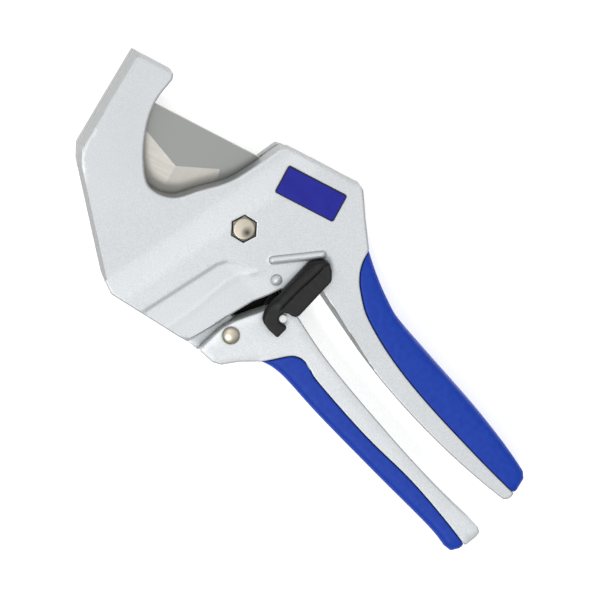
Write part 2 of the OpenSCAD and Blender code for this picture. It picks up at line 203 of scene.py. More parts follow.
def triangulate(loops, rings, grid, extra=None):
    """Points and triangles over the area inside loops[0] and outside the others, with each point's depth.

    The order returned says which points the loops' own points became. Rows of points follow the loops at
    the distances in rings, and a grid fills the rest.
    """
    outer, holes = loops[0], loops[1:]
    points, edges = [], []
    for loop in loops:
        first = len(points)
        points += [tuple(p) for p in loop]
        edges += [(first + i, first + (i + 1) % len(loop)) for i in range(len(loop))]
    rim = len(points)

    def depth(p):
        d = depth_in(p, outer)
        for hole in holes:
            d = np.minimum(d, -depth_in(p, hole))
        return d

    more = []
    for ring in rings:
        for loop, sign in [(outer, 1)] + [(h, -1) for h in holes]:
            before, after = np.roll(loop, 1, axis=0), np.roll(loop, -1, axis=0)
            along = after - before
            normal = sign * np.stack([-along[:, 1], along[:, 0]], 1) / np.hypot(*along.T)[:, None]
            p = loop + ring * normal
            more.append(p[depth(p) > ring * 0.93 - 0.01])
    if grid:
        lo, hi = outer.min(0), outer.max(0)
        xs = np.arange(lo[0] + grid / 2, hi[0], grid)
        ys = np.arange(lo[1] + grid / 2, hi[1], grid * 0.866)
        mesh = np.array([(x + (j % 2) * grid / 2, y) for j, y in enumerate(ys) for x in xs])
        more.append(mesh[depth(mesh) > (max(rings) if rings else 0) + 0.45 * grid])
    if extra is not None:
        more.append(extra[depth(extra) > (max(rings) if rings else 0) + 0.1])
    for group in more:
        points += [tuple(p) for p in group]
    vs, _, tris, ids, _, _ = delaunay_2d_cdt([Vector(p) for p in points], edges, [], 0, 1e-5, True)
    xy = np.array([tuple(v) for v in vs])
    centre = np.array([xy[list(t)].mean(0) for t in tris])
    inner = inside(centre, outer)
    for hole in holes:
        inner &= ~inside(centre, hole)
    place = {}
    for new, olds in enumerate(ids):
        for old in olds:
            place[old] = new
    order = [place[i] for i in range(rim)]
    return xy, [t for t, ok in zip(tris, inner) if ok], order, depth(xy)


def in_metres(x, y, z):
    """A point in the frame, from millimetres east and north of the blade bolt and above the floor."""
    return (x + BOLT[0]) * MM, (y + BOLT[1]) * MM, z * MM


def plate(
    name, loops, top, bottom, top_rings=(), bottom_rings=(), top_grid=0, bottom_grid=0, step=2.0, extra=None
):
    """A closed solid over the loops; top and bottom give its faces' heights from points and depths."""
    loops = [split_long(loop, step) for loop in loops]
    bm = bmesh.new()
    rims = []
    faces = (top, top_rings, top_grid, False, extra), (bottom, bottom_rings, bottom_grid, True, None)
    for height, rings, grid, flip, more in faces:
        xy, tris, order, depth = triangulate(loops, list(rings), grid, more)
        verts = [bm.verts.new(in_metres(*p, h)) for p, h in zip(xy, height(xy, depth))]
        for t in tris:
            corner = [verts[i] for i in t]
            if (area(xy[list(t)]) < 0) != flip:
                corner.reverse()
            bm.faces.new(corner)
        rims.append([verts[i] for i in order])
    first = 0
    for loop in loops:
        n = len(loop)
        for i in range(n):
            j = (i + 1) % n
            a, b = rims[0][first + i], rims[0][first + j]
            c, d = rims[1][first + j], rims[1][first + i]
            bm.faces.new((a, d, c, b))
        first += n
    loose = [v for v in bm.verts if not v.link_faces]
    bmesh.ops.delete(bm, geom=loose, context="VERTS")
    bmesh.ops.recalc_face_normals(bm, faces=bm.faces)
    return finish_mesh(bm, name)


def finish_mesh(bm, name, sharp=38):
    mesh = bpy.data.meshes.new(name)
    bm.to_mesh(mesh)
    bm.free()
    piece = bpy.data.objects.new(name, mesh)
    scene.collection.objects.link(piece)
    smooth(piece, sharp)
    return piece


def smooth(piece, sharp=38):
    for p in piece.data.polygons:
        p.use_smooth = True
    piece.data.set_sharp_from_angle(angle=math.radians(sharp))


def combine(piece, others, how):
    """Joins the others to the piece, or cuts them out of it, and removes them."""
    for other in others:
        tool = piece.modifiers.new("combine", "BOOLEAN")
        tool.operation = how
        tool.solver = "EXACT"
        tool.object = other
        dg = bpy.context.evaluated_depsgraph_get()
        made = bpy.data.meshes.new_from_object(piece.evaluated_get(dg))
        piece.modifiers.remove(tool)
        old = piece.data
        piece.data = made
        made.name = old.name
        bpy.data.meshes.remove(old)
        bpy.data.objects.remove(other)
    smooth(piece)
    for p in piece.data.polygons:
        p.use_smooth = abs(p.normal.z) > WALL_NORMAL
    return piece


def level(h):
    return lambda xy, depth: np.full(len(xy), float(h))


# ---------------------------------------------------------------- camera, floor and lights
VIEW_TARGET = Vector((-2.7, 3.1, 18)) * MM
VIEW_BACK = Vector((-0.2547, 0.0530, 0.9656)).normalized()
PICTURE_UP = Vector((-0.7209, 0.6551, -0.2261))
VIEW_DISTANCE = 1.52
VIEW_LENS = 228
# Where each change in the surroundings starts and ends along its direction, and its strength at both ends
SKY_RISE = (0.15, 0.95, 0.20, 1.0)
SKY_FOOT = (0.0, 0.65, 1.0, 0.5)


def add_camera():
    data = bpy.data.cameras.new("camera")
    data.lens = VIEW_LENS
    data.sensor_width = 36
    data.clip_start = 0.05
    data.clip_end = 20
    camera = bpy.data.objects.new("camera", data)
    scene.collection.objects.link(camera)
    right = PICTURE_UP.cross(VIEW_BACK).normalized()
    up = VIEW_BACK.cross(right)
    turn = Matrix((right, up, VIEW_BACK)).transposed().to_4x4()
    camera.matrix_world = Matrix.Translation(VIEW_TARGET + VIEW_DISTANCE * VIEW_BACK) @ turn
    scene.camera = camera


def add_light(name, place, size, power):
    """A soft rectangular lamp at place that shines at the cutter."""
    data = bpy.data.lights.new(name, "AREA")
    data.shape = "RECTANGLE"
    data.size, data.size_y = size
    data.energy = power
    light = bpy.data.objects.new(name, data)
    scene.collection.objects.link(light)
    light.location = place
    light.rotation_euler = (-Vector(place)).to_track_quat("-Z", "Y").to_euler()


def add_world():
    """Studio surroundings: bright overhead, dimmer at the horizon and towards the handles."""
    world = bpy.data.worlds.new("studio")
    scene.world = world
    world.use_nodes = True
    tree = world.node_tree
    where = tree.nodes.new("ShaderNodeTexCoord")
    parts = []
    foot = (-PICTURE_UP.x, -PICTURE_UP.y, 0)
    for axis, start, end, low, high in (((0, 0, 1), *SKY_RISE), (foot, *SKY_FOOT)):
        toward = tree.nodes.new("ShaderNodeVectorMath")
        toward.operation = "DOT_PRODUCT"
        toward.inputs[1].default_value = axis
        tree.links.new(where.outputs["Generated"], toward.inputs[0])
        parts.append(between(tree, toward.outputs["Value"], low, high, start, end))
    product = tree.nodes.new("ShaderNodeMath")
    product.operation = "MULTIPLY"
    tree.links.new(parts[0], product.inputs[0])
    tree.links.new(parts[1], product.inputs[1])
    background = tree.nodes["Background"]
    background.inputs["Color"].default_value = (0.985, 0.99, 1, 1)
    tree.links.new(product.outputs[0], background.inputs["Strength"])


# ---------------------------------------------------------------- materials
def new_material(name):
    m = bpy.data.materials.new(name)
    m.use_nodes = True
    return m, m.node_tree.nodes["Principled BSDF"], m.node_tree


def noise(tree, per_metre, detail=2.0, stretch=(1, 1, 1), turn=0):
    """Noise fixed to the piece, about per_metre lumps to the metre, stretched along its own axes."""
    where = tree.nodes.new("ShaderNodeTexCoord")
    spin = tree.nodes.new("ShaderNodeMapping")
    spin.inputs["Rotation"].default_value = (0, 0, math.radians(-turn))
    scale = tree.nodes.new("ShaderNodeMapping")
    scale.inputs["Scale"].default_value = [per_metre * s for s in stretch]
    lumps = tree.nodes.new("ShaderNodeTexNoise")
    lumps.inputs["Scale"].default_value = 1
    lumps.inputs["Detail"].default_value = detail
    tree.links.new(where.outputs["Object"], spin.inputs["Vector"])
    tree.links.new(spin.outputs["Vector"], scale.inputs["Vector"])
    tree.links.new(scale.outputs["Vector"], lumps.inputs["Vector"])
    return lumps.outputs["Fac"]


def blend(tree, by, low, high, start=0.3, end=0.7):
    """A colour that goes from low to high as by goes from start to end."""
    ramp_node = tree.nodes.new("ShaderNodeValToRGB")
    ramp_node.color_ramp.elements[0].position = start
    ramp_node.color_ramp.elements[1].position = end
    ramp_node.color_ramp.elements[0].color = (*low, 1)
    ramp_node.color_ramp.elements[1].color = (*high, 1)
    tree.links.new(by, ramp_node.inputs["Fac"])
    return ramp_node.outputs["Color"]


def times(tree, a, b):
    """One colour or tone multiplied by another."""
    mix = tree.nodes.new("ShaderNodeMix")
    mix.data_type = "RGBA"
    mix.blend_type = "MULTIPLY"
    mix.inputs["Factor"].default_value = 1
    tree.links.new(a, mix.inputs["A"])
    tree.links.new(b, mix.inputs["B"])
    return mix.outputs["Result"]


def between(tree, by, low, high, start=0.3, end=0.7):
    """A number that goes from low to high as by goes from start to end."""
    span = tree.nodes.new("ShaderNodeMapRange")
    for name, value in (("From Min", start), ("From Max", end), ("To Min", low), ("To Max", high)):
        span.inputs[name].default_value = value
    tree.links.new(by, span.inputs["Value"])
    return span.outputs[0]


def dent(tree, shader, by, height, strength=1.0, under=None):
    """Relief of the given height in metres; under is a relief that lies below this one."""
    bump = tree.nodes.new("ShaderNodeBump")
    bump.inputs["Distance"].default_value = height
    bump.inputs["Strength"].default_value = strength
    tree.links.new(by, bump.inputs["Height"])
    if under is not None:
        tree.links.new(under, bump.inputs["Normal"])
    tree.links.new(bump.outputs["Normal"], shader.inputs["Normal"])
    return bump.outputs["Normal"]


def parts_of(tree, coordinate):
    """The X, Y and Z of one of the piece's own texture coordinates."""
    where = tree.nodes.new("ShaderNodeTexCoord")
    split = tree.nodes.new("ShaderNodeSeparateXYZ")
    tree.links.new(where.outputs[coordinate], split.inputs[0])
    return split


def facing(tree):
    """1 on faces that look straight up or down, 0 on upright walls."""
    size = tree.nodes.new("ShaderNodeMath")
    size.operation = "ABSOLUTE"
    tree.links.new(parts_of(tree, "Normal").outputs["Z"], size.inputs[0])
    return size.outputs[0]


def painted_crease_shade(tree, reach, tone):
    """Painted shade: darkens colours to tone in creases narrower than reach."""
    shade = tree.nodes.new("ShaderNodeAmbientOcclusion")
    shade.samples = 8
    shade.inputs["Distance"].default_value = reach
    return blend(tree, shade.outputs["AO"], (tone, tone, tone), (1, 1, 1), 0.25, 0.85)


def upright(tree, low, start, end):
    """Painted shade: darkens colours on upright walls; faces that look up or down keep them."""
    return blend(tree, facing(tree), low, (1, 1, 1), start, end)


def painted_tilt_light(tree):
    """Painted light and shade: lightens faces that tilt towards -X and darkens those that tilt towards +X or
    -Y.
    """
    split = parts_of(tree, "Normal")
    side = between(tree, split.outputs["X"], 1.12, 0.75, -0.067, 0.139)
    return times(tree, side, between(tree, split.outputs["Y"], 0.5, 1, -1.0, -0.6))


# Painted shade: the paint is made a little darker at the hook, where the light falls off: its tone there,
# and between which x, from the frame's origin
HOOK_SHADE, HOOK_X, MOUTH_X = 0.955, -60, -47


def hook_painted_shade(tree):
    split = parts_of(tree, "Object")
    return between(tree, split.outputs["X"], HOOK_SHADE, 1, HOOK_X * MM, MOUTH_X * MM)


def seam_line(tree, half, dark):
    """Darkens colours within half a seam's height of the joint between the two castings."""
    split = parts_of(tree, "Object")
    away = tree.nodes.new("ShaderNodeMath")
    away.operation = "COMPARE"
    away.inputs[1].default_value = SEAM_Z * MM
    away.inputs[2].default_value = half
    tree.links.new(split.outputs["Z"], away.inputs[0])
    return blend(tree, away.outputs[0], (1, 1, 1), dark, 0, 1)


def silver_paint(name, gain, wall, crease, seam):
    """Fine metallic paint with painted light and shade: wall is its painted shade on upright walls, crease
    its painted shade in deep creases, and faces are lit or shaded by their tilt.
    """
    m, shader, tree = new_material(name)
    dull, bright = [tuple(gain * c for c in tone) for tone in ((0.615, 0.64, 0.655), (0.715, 0.74, 0.755))]
    flake = blend(tree, noise(tree, 2200, 1), dull, bright, 0.32, 0.68)
    cloud = blend(tree, noise(tree, 45, 2), (0.965, 0.97, 0.975), (1, 1, 1), 0.35, 0.65)
    colour = times(tree, times(tree, flake, cloud), painted_crease_shade(tree, 3.5 * MM, crease))
    colour = times(tree, colour, upright(tree, (wall, wall * 0.99, wall * 0.96), 0.15, 0.55))
    colour = times(tree, colour, painted_tilt_light(tree))
    if seam:
        # Painted shade, darker towards the hook
        colour = times(tree, colour, hook_painted_shade(tree))
        colour = times(tree, colour, seam_line(tree, 0.45 * MM, (0.42, 0.42, 0.41)))
    tree.links.new(colour, shader.inputs["Base Color"])
    tree.links.new(between(tree, noise(tree, 1500, 2), 0.38, 0.52), shader.inputs["Roughness"])
    shader.inputs["Metallic"].default_value = 0.28
    shader.inputs["Coat Weight"].default_value = 0.25
    shader.inputs["Coat Roughness"].default_value = 0.28
    orange_peel = dent(tree, shader, noise(tree, 420, 2), 0.035 * MM, 0.5)
    dent(tree, shader, noise(tree, 1900, 1), 0.02 * MM, 0.45, under=orange_peel)
    return m


def ground_steel():
    """Blade: lengthwise grinding on the flats and brighter, crosswise grinding on the bevels."""
    m, shader, tree = new_material("blade_steel")
    flat = between(tree, facing(tree), 0, 1, 0.9955, 0.998)
    long_lines = noise(tree, 900, 3, stretch=(0.05, 3.0, 1), turn=21)
    cross_lines = noise(tree, 900, 3, stretch=(2.2, 0.06, 1), turn=20)
    on_flat = blend(tree, long_lines, (0.298, 0.304, 0.293), (0.314, 0.32, 0.309))
    on_bevel = blend(tree, cross_lines, (0.49, 0.47, 0.43), (0.525, 0.505, 0.46))
    pick = tree.nodes.new("ShaderNodeMix")
    pick.data_type = "RGBA"
    tree.links.new(flat, pick.inputs["Factor"])
    tree.links.new(on_bevel, pick.inputs["A"])
    tree.links.new(on_flat, pick.inputs["B"])
    # Painted shade in the blade's creases
    colour = times(tree, pick.outputs["Result"], painted_crease_shade(tree, 2.5 * MM, 0.45))
    tree.links.new(colour, shader.inputs["Base Color"])
    tree.links.new(between(tree, long_lines, 0.42, 0.52), shader.inputs["Roughness"])
    shader.inputs["Metallic"].default_value = 0.35
    first = dent(tree, shader, long_lines, 0.004 * MM, 0.4)
    dent(tree, shader, cross_lines, 0.003 * MM, 0.3, under=first)
    return m


def painted_dark_reflection(tree, place, inner, outer, low):
    """Painted dark reflection: darkens colours round a place, given in millimetres, softly between two
    radii.
    """
    where = tree.nodes.new("ShaderNodeTexCoord")
    away = tree.nodes.new("ShaderNodeVectorMath")
    away.operation = "DISTANCE"
    away.inputs[1].default_value = [c * MM for c in place]
    tree.links.new(where.outputs["Object"], away.inputs[0])
    return between(tree, away.outputs["Value"], low, 1, inner * MM, outer * MM)


def metal(name, low, high, roughness, lumps=500, metallic=1.0, bump=0.002, dark_reflection=None):
    """Bare or plated metal, slightly uneven; its last argument gives the place, radii and tone of a painted
    dark reflection.
    """
    m, shader, tree = new_material(name)
    colour = blend(tree, noise(tree, lumps, 3), low, high)
    if dark_reflection:
        colour = times(tree, colour, painted_dark_reflection(tree, *dark_reflection))
    tree.links.new(colour, shader.inputs["Base Color"])
    tree.links.new(between(tree, noise(tree, lumps * 2, 2), *roughness), shader.inputs["Roughness"])
    shader.inputs["Metallic"].default_value = metallic
    dent(tree, shader, noise(tree, lumps * 3, 2), bump * MM, 0.5)
    return m


def moulded(name, low, high, roughness, grain, height, coat=0.0, crease=None):
    """Moulded plastic or rubber with a fine grain."""
    m, shader, tree = new_material(name)
    colour = blend(tree, noise(tree, grain * 0.3, 3), low, high)
    # Painted shade in creases, when crease is given
    if crease:
        colour = times(tree, colour, painted_crease_shade(tree, crease * MM, 0.35))
    tree.links.new(colour, shader.inputs["Base Color"])
    tree.links.new(between(tree, noise(tree, grain, 2), *roughness), shader.inputs["Roughness"])
    shader.inputs["Coat Weight"].default_value = coat
    shader.inputs["Coat Roughness"].default_value = 0.12
    shader.inputs["Specular IOR Level"].default_value = 0.22
    dent(tree, shader, noise(tree, grain, 2), height * MM, 0.5)
    return m


def add_floor():
    reach, drop = 3.0, 0.0002
    z = cad_box[0].z - drop
    mesh = bpy.data.meshes.new("floor")
    corner = [(-reach, -reach, z), (reach, -reach, z), (reach, reach, z), (-reach, reach, z)]
    mesh.from_pydata(corner, [], [(0, 1, 2, 3)])
    floor = bpy.data.objects.new("floor", mesh)
    scene.collection.objects.link(floor)
    m, shader, tree = new_material("floor_white")
    shade = blend(tree, noise(tree, 30, 2), (0.885, 0.885, 0.885), (0.9, 0.9, 0.9))
    tree.links.new(shade, shader.inputs["Base Color"])
    shader.inputs["Roughness"].default_value = 0.9
    shader.inputs["Specular IOR Level"].default_value = 0.1
    shader.inputs["Emission Color"].default_value = (1, 1, 1, 1)
    shader.inputs["Emission Strength"].default_value = 0.55
    mesh.materials.append(m)


add_camera()
add_floor()
add_world()
add_light("key", (-1.0, 0.42, 2.4), (1.1, 1.1), 4)
add_light("top", (0.35, -1.15, 2.65), (0.9, 0.8), 27)
scene.view_settings.view_transform = "Standard"

# Painted dark reflection in the dish of the bolt's head: its middle, where it starts and ends to fade, and
# its tone
BOLT_DARK_REFLECTION = ((BOLT[0] + 1.9, BOLT[1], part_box("blade_bolt")[1].z / MM), 0.4, 2.9, 0.16)

MATERIALS = {
    "cast_alloy": silver_paint("cast_alloy", 0.965, 0.55, 0.34, seam=True),
    # Painted light: a brighter copy of the cast paint for the lever, with less painted shade on walls and in
    # creases
    "lever_alloy_lit": silver_paint("lever_alloy_lit", 1.06, 1.0, 0.75, seam=False),
    "blade_steel": ground_steel(),
    "plated_steel": metal("plated_steel", (0.57, 0.52, 0.42), (0.60, 0.55, 0.45), (0.33, 0.38), bump=0.0002),
    "bolt_face": metal(
        "bolt_face", (0.46, 0.425, 0.345), (0.49, 0.45, 0.37), (0.40, 0.46), bump=0.0002, dark_reflection=BOLT_DARK_REFLECTION
    ),
    "spring_steel": metal("spring_steel", (0.28, 0.29, 0.30), (0.42, 0.43, 0.44), (0.25, 0.4), bump=0.004),
    "black_steel": metal(
        "black_steel", (0.012, 0.012, 0.013), (0.03, 0.03, 0.032), (0.35, 0.5), metallic=0.5
    ),
    "latch_plastic": moulded(
        "latch_plastic", (0.012, 0.013, 0.012), (0.018, 0.0195, 0.018), (0.4, 0.52), 1500, 0.02
    ),
    "grip_rubber": moulded(
        "grip_rubber", (0.004, 0.042, 0.380), (0.008, 0.053, 0.440), (0.42, 0.54), 1300, 0.02, crease=0.9
    ),
    "label": moulded(
        "label", (0.006, 0.010, 0.290), (0.009, 0.013, 0.330), (0.3, 0.4), 700, 0.003, coat=0.05
    ),
    # Painted shade for the deep gap in the bay beside the lever
    "bay_painted_shade": moulded("bay_painted_shade", (0.006, 0.006, 0.005), (0.013, 0.013, 0.011), (0.4, 0.6), 300, 0.02),
    "peg_paint": moulded("peg_paint", (0.80, 0.81, 0.82), (0.86, 0.87, 0.88), (0.3, 0.4), 900, 0.01),
    "label_edge": moulded("label_edge", (0.008, 0.008, 0.03), (0.014, 0.014, 0.05), (0.3, 0.4), 700, 0.005),
}


# ---------------------------------------------------------------- outlines and simple solids
def areas(loops):
    """The loops grouped into areas: each an outer loop followed by the holes in it."""
    groups = []
    for loop in loops:
        home = [g for g in groups if inside(loop[:1], g[0])[0]]
        if home:
            home[0].append(loop)
        else:
            groups.append([loop])
    return groups


def ring_points(centre, radii, n=28):
    """Points on circles of the given radii."""
    turns = np.arange(n) * 2 * math.pi / n
    x, y = centre
    return np.array([(x + r * math.cos(t), y + r * math.sin(t)) for r in radii for t in turns])


def capsule_points(a, b, radii, step=0.6):
    """Points at the given distances all round the line from a to b."""
    a, b = np.array(a), np.array(b)
    d = (b - a) / np.hypot(*(b - a))
    side = np.array([-d[1], d[0]])
    n = int(np.hypot(*(b - a)) / step)
    out = []
    for r in radii:
        for i in range(n + 1):
            p = a + (b - a) * i / n
            out += [p + r * side, p - r * side]
        turn = math.atan2(d[1], d[0])
        for k in range(1, 8):
            t = turn - math.pi / 2 + math.pi * k / 8
            out.append(b + r * np.array([math.cos(t), math.sin(t)]))
            out.append(a - r * np.array([math.cos(t), math.sin(t)]))
    return np.array(out)


def ramp(d, width):
    """Rises smoothly from 0 to 1 as d goes from half a width before 0 to half a width after."""
    t = np.clip(d / width + 0.5, 0, 1)
    return t * t * (3 - 2 * t) * 0.6 + t * 0.4


def rim_parts(loop, neighbour, reach=0.6):
    """The loop's edges in two lots: the free ones, and those that run beside the neighbour."""
    a, b = loop, np.roll(loop, -1, axis=0)
    near = distance((a + b) / 2, neighbour) < reach
    edges = list(zip(a, b))
    return [e for e, n in zip(edges, near) if not n], [e for e, n in zip(edges, near) if n]


def edge_distance(points, edges):
    """Distance from each point to the nearest of the edges."""
    best = np.full(len(points), 1e9)
    for a, b in edges:
        d = b - a
        t = np.clip(((points - a) @ d) / max(d @ d, 1e-12), 0, 1)
        best = np.minimum(best, np.hypot(*(points - a - t[:, None] * d).T))
    return best


def prism(name, loops, z0, z1):
    return plate(name, loops, level(z1), level(z0), step=500)


def lathe(name, centre, profile, n=48):
    """A solid turned about +Z through centre; profile lists (radius, height) from the axis out and back."""
    bm = bmesh.new()
    rings = []
    for r, z in profile:
        ring = ring_points(centre, [r], n) if r else [centre]
        rings.append([bm.verts.new(in_metres(x, y, z)) for x, y in ring])
    for lower, upper in zip(rings, rings[1:]):
        for k in range(n):
            j = (k + 1) % n
            low, high = len(lower), len(upper)
            unique = list(dict.fromkeys([lower[k % low], lower[j % low], upper[j % high], upper[k % high]]))
            if len(unique) > 2:
                bm.faces.new(unique)
    bmesh.ops.recalc_face_normals(bm, faces=bm.faces)
    return finish_mesh(bm, name, sharp=30)


def clean_copy(node, name, sharp=25):
    """A copy of a CAD node with its points joined up, so that it shades smoothly between sharp edges."""
    bm = bmesh.new()
    bm.from_mesh(nodes[node].data)
    bmesh.ops.remove_doubles(bm, verts=bm.verts, dist=0.002 * MM)
    bmesh.ops.dissolve_limit(bm, angle_limit=math.radians(0.4), verts=bm.verts, edges=bm.edges)
    bmesh.ops.triangulate(bm, faces=bm.faces)
    return finish_mesh(bm, name, sharp)


def place(piece, body, slot_name, *stands_for, look=None):
    """Gives the piece its body and its material, the look's if given and else the slot's, and hides the CAD
    nodes that it stands for.
    """
    if stands_for:
        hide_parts(*stands_for)
    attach(piece, body)
    piece.data.materials.clear()
    piece.data.materials.append(MATERIALS[look or slot_name])
    return piece


def circle(centre, r, n=48):
    return ring_points(centre, [r], n)


def sides_of(line, offsets):
    """Points beside the line, at the given distances to its left."""
    line = split_long(np.array(line), 1.0)
    d = np.roll(line, -1, axis=0) - line
    side = np.stack([-d[:, 1], d[:, 0]], 1) / np.maximum(np.hypot(*d.T), 1e-6)[:, None]
    return np.vstack([line + k * side for k in offsets])


# ---------------------------------------------------------------- front casting
# Raised relief on the face: a rib's ends, radius and height, and a round bump with the radius of its ball
RIB_FROM, RIB_TO, RIB_R, RIB_H = (17.3, 0.3), (28.9, 16.4), 1.6, 1.4
BUMP_AT, BUMP_R, BUMP_BALL, BUMP_H = (24.5, -4), 2.2, 2.72, 1.72
# The face drops into a valley to the right of UPPER_EDGE, below a height where it fades out
VALLEY_DEPTH, VALLEY_FROM, VALLEY_FADE = 0.26, -6.5, 8.0
# Soft bead along LOWER_EDGE: where it is highest, its height, the height added there, and its two widths
BEAD_AT, BEAD_H, BEAD_TIP, BEAD_LEFT, BEAD_RIGHT = (15.3, -9.1), 0.045, 0.13, 1.2, 2.2
LIP_DEPTH = 1.2
# The face is bent about lines nearly along Y, the first at BEND_X with BEND_LEAN across for each mm of Y.
# BENDS gives the face's fall in degrees at distances to the left of that line.
BEND_X, BEND_LEAN = -3.5, 0.12
BENDS = [(-1.0, 0), (1.0, 2.4), (10.5, 2.4), (12.5, -0.3), (80, -0.3)]
# The hook's left side is drafted: how far its wall leans in, over what height, and left of which x
DRAFT_IN, DRAFT_H, DRAFT_X = 1.35, 8.0, -14
UPPER_EDGE = [(-2.5, -60), (-1.2, -50), (3.7, -17.5), (5.2, -14), (9.1, -11.2), (15.4, -7), (17, -7.4)]
LOWER_EDGE = [(17, -7.4), (13.2, -12.9), (11.6, -19.6), (11.2, -39.4), (10.1, -48.2), (9.5, -60)]
# The ledge beside the lever's head, and where the face steps down to it. A known fault: the ledge's right
# border cuts up to 0.6 mm into the lever's wall and up to 0.9 mm into the lever's spring.
LEDGE_Z = 14
LEDGE = [(20.2, -47.1), (25.9, -46.3), (25.9, -38.4), (25.8, -30), (25.5, -27.1), (20, -27), (18, -40)]
LIP_EDGE = [(13, -52), (14.5, -49.9), (17.2, -48.2), (19.4, -45.9), (20.5, -41), (21.4, -36.6), (22.6, -28)]
# Top edge of the fixed handle's drafted inner wall: its start, direction, draft and end
WALL_FROM, WALL_TURN, WALL_DRAFT, WALL_TO = (40.9, 7.0), math.radians(-8.6), math.radians(11), 75
WALL_ALONG = np.array([math.cos(WALL_TURN), math.sin(WALL_TURN)])
WALL_OUT = np.array([math.sin(WALL_TURN), -math.cos(WALL_TURN)])
# The seam's rounded edges, and the rows of points across them
SEAM_ROUND, SEAM_RINGS = 0.55, [0.06, 0.2, 0.38, 0.55]
# Room for the blade's spring under the bolt, and the seat of the bolt's head
SPRING_R, SPRING_ROOF, HEAD_SEAT = 10.5, BAY_TOP + 4.1, FACE_Z - 4.2
BORE_R = 3.05
GRIP_LOOP = slice_loops("fixed_grip", 15)[0]
LEVER_GRIP_LOOP = slice_loops("lever_grip", 15)[0]


def bent(xy):
    """How far the face has fallen towards the hook."""
    left = BEND_X + BEND_LEAN * xy[:, 1] - xy[:, 0]
    at = np.arange(-2, 80, 0.25)
    slope = np.tan(np.radians(np.interp(at, *zip(*BENDS))))
    return np.interp(left, at, np.cumsum(slope) * 0.25)


def bead(xy, left):
    """Low soft bead along the valley's lower edge, higher at its tip."""
    side = np.where(left > 0, 1 - left / BEAD_LEFT, 1 + left / BEAD_RIGHT)
    tip = np.exp(-np.sum((xy - np.array(BEAD_AT)) ** 2, axis=1) / 2.5**2)
    return (BEAD_H + BEAD_TIP * tip) * np.clip(side, 0, 1) * (xy[:, 1] < VALLEY_FROM)


def left_side(outer, edges):
    """The edges whose walls face -X on the outside of the hook."""
    found = []
    for a, b in edges:
        d = (b - a) / np.hypot(*(b - a))
        beyond = (outer - a) @ np.array([d[1], -d[0]])
        if max(a[0], b[0]) < DRAFT_X and d[1] < -0.35 and beyond.max() < 0.5:
            found.append((a, b))
    return found


def front_top(outer, holes):
    """Heights of the front face, with all its relief and rounded edges."""
    seam_free, seam_edges = rim_parts(outer, GRIP_LOOP)
    drafted = left_side(outer, seam_free)
    upper = np.array(UPPER_EDGE + [(60, -7.4), (60, -60)])
    lower = np.array(LOWER_EDGE + [(-120, -60), (-120, 40), (17, 40)])
    lip = np.array(LIP_EDGE + [(30, -28), (30, -52)])

    def top(xy, depth):
        z = np.full(len(xy), FACE_Z)
        z -= bent(xy)
        fade = np.clip((VALLEY_FROM - xy[:, 1]) / VALLEY_FADE, 0, 1)
        z -= VALLEY_DEPTH * ramp(depth_in(xy, upper), 1.9) * fade
        z += bead(xy, depth_in(xy, lower))
        z -= LIP_DEPTH * ramp(depth_in(xy, lip), 0.7)
        to_rib = distance(xy, np.array([RIB_FROM, RIB_TO]), closed=False)
        rib = RIB_H * (1 - 0.85 * quarter_round(RIB_R - to_rib, RIB_R) / RIB_R)
        z += np.where(to_rib < RIB_R, rib, 0.12 * np.clip(1 - (to_rib - RIB_R) / 0.5, 0, 1) ** 2)
        to_bump = np.hypot(xy[:, 0] - BUMP_AT[0], xy[:, 1] - BUMP_AT[1])
        ball = np.sqrt(np.clip(BUMP_BALL**2 - to_bump**2, 0, None)) + BUMP_H - BUMP_BALL
        z += np.where(to_bump <= BUMP_R, ball, 0)
        z -= quarter_round(edge_distance(xy, seam_free), CAST_ROUND)
        past_wall = beyond_wall(xy)
        z = np.where(past_wall > 0, np.minimum(z, FACE_Z - past_wall / math.tan(WALL_DRAFT)), z)
        z = np.minimum(z, FACE_Z - DRAFT_H * (1 - edge_distance(xy, drafted) / DRAFT_IN))
        if seam_edges:
            z -= quarter_round(edge_distance(xy, seam_edges), 0.35)
        for hole in holes:
            z -= quarter_round(distance(xy, hole), 0.3)
        return z

    return top


def rising(z, soft):
    """Heights of an underside at z, its rim rounded upwards."""
    return lambda xy, depth: z + quarter_round(depth, soft)


def falling(z, soft):
    """Heights of a top at z, its rim rounded downwards."""
    return lambda xy, depth: z - quarter_round(depth, soft)


def beyond_wall(xy):
    """Distance past the top edge of the fixed handle's inner wall, none to the left of its start."""
    past = np.clip((xy - np.array(WALL_FROM)) @ WALL_OUT, 0, None)
    return np.where(xy[:, 0] > WALL_FROM[0], past, 0)


def drafted_wall():
    """Wedge on the fixed handle's inner side, sloping out from the face's edge to the outline."""
    rim = slice_loops("front_body", 7.8)[0]
    rim = split_long(rim, 1.5)
    rim = rim[(rim[:, 0] > WALL_FROM[0] + 0.3) & (rim[:, 0] < WALL_TO) & (rim[:, 1] < 8)]
    rim = rim[np.argsort(rim[:, 0])]
    inner = [np.array(WALL_FROM) + t * WALL_ALONG - 1.2 * WALL_OUT for t in (WALL_TO - WALL_FROM[0], 0.4)]

    def top(xy, depth):
        return np.maximum(FACE_Z - 0.4 - beyond_wall(xy) / math.tan(WALL_DRAFT), SEAM_Z + 1.5)

    return plate("wall", [np.vstack([rim, inner])], top, level(SEAM_Z + 0.9), [0.15], top_grid=0.6, step=1.0)


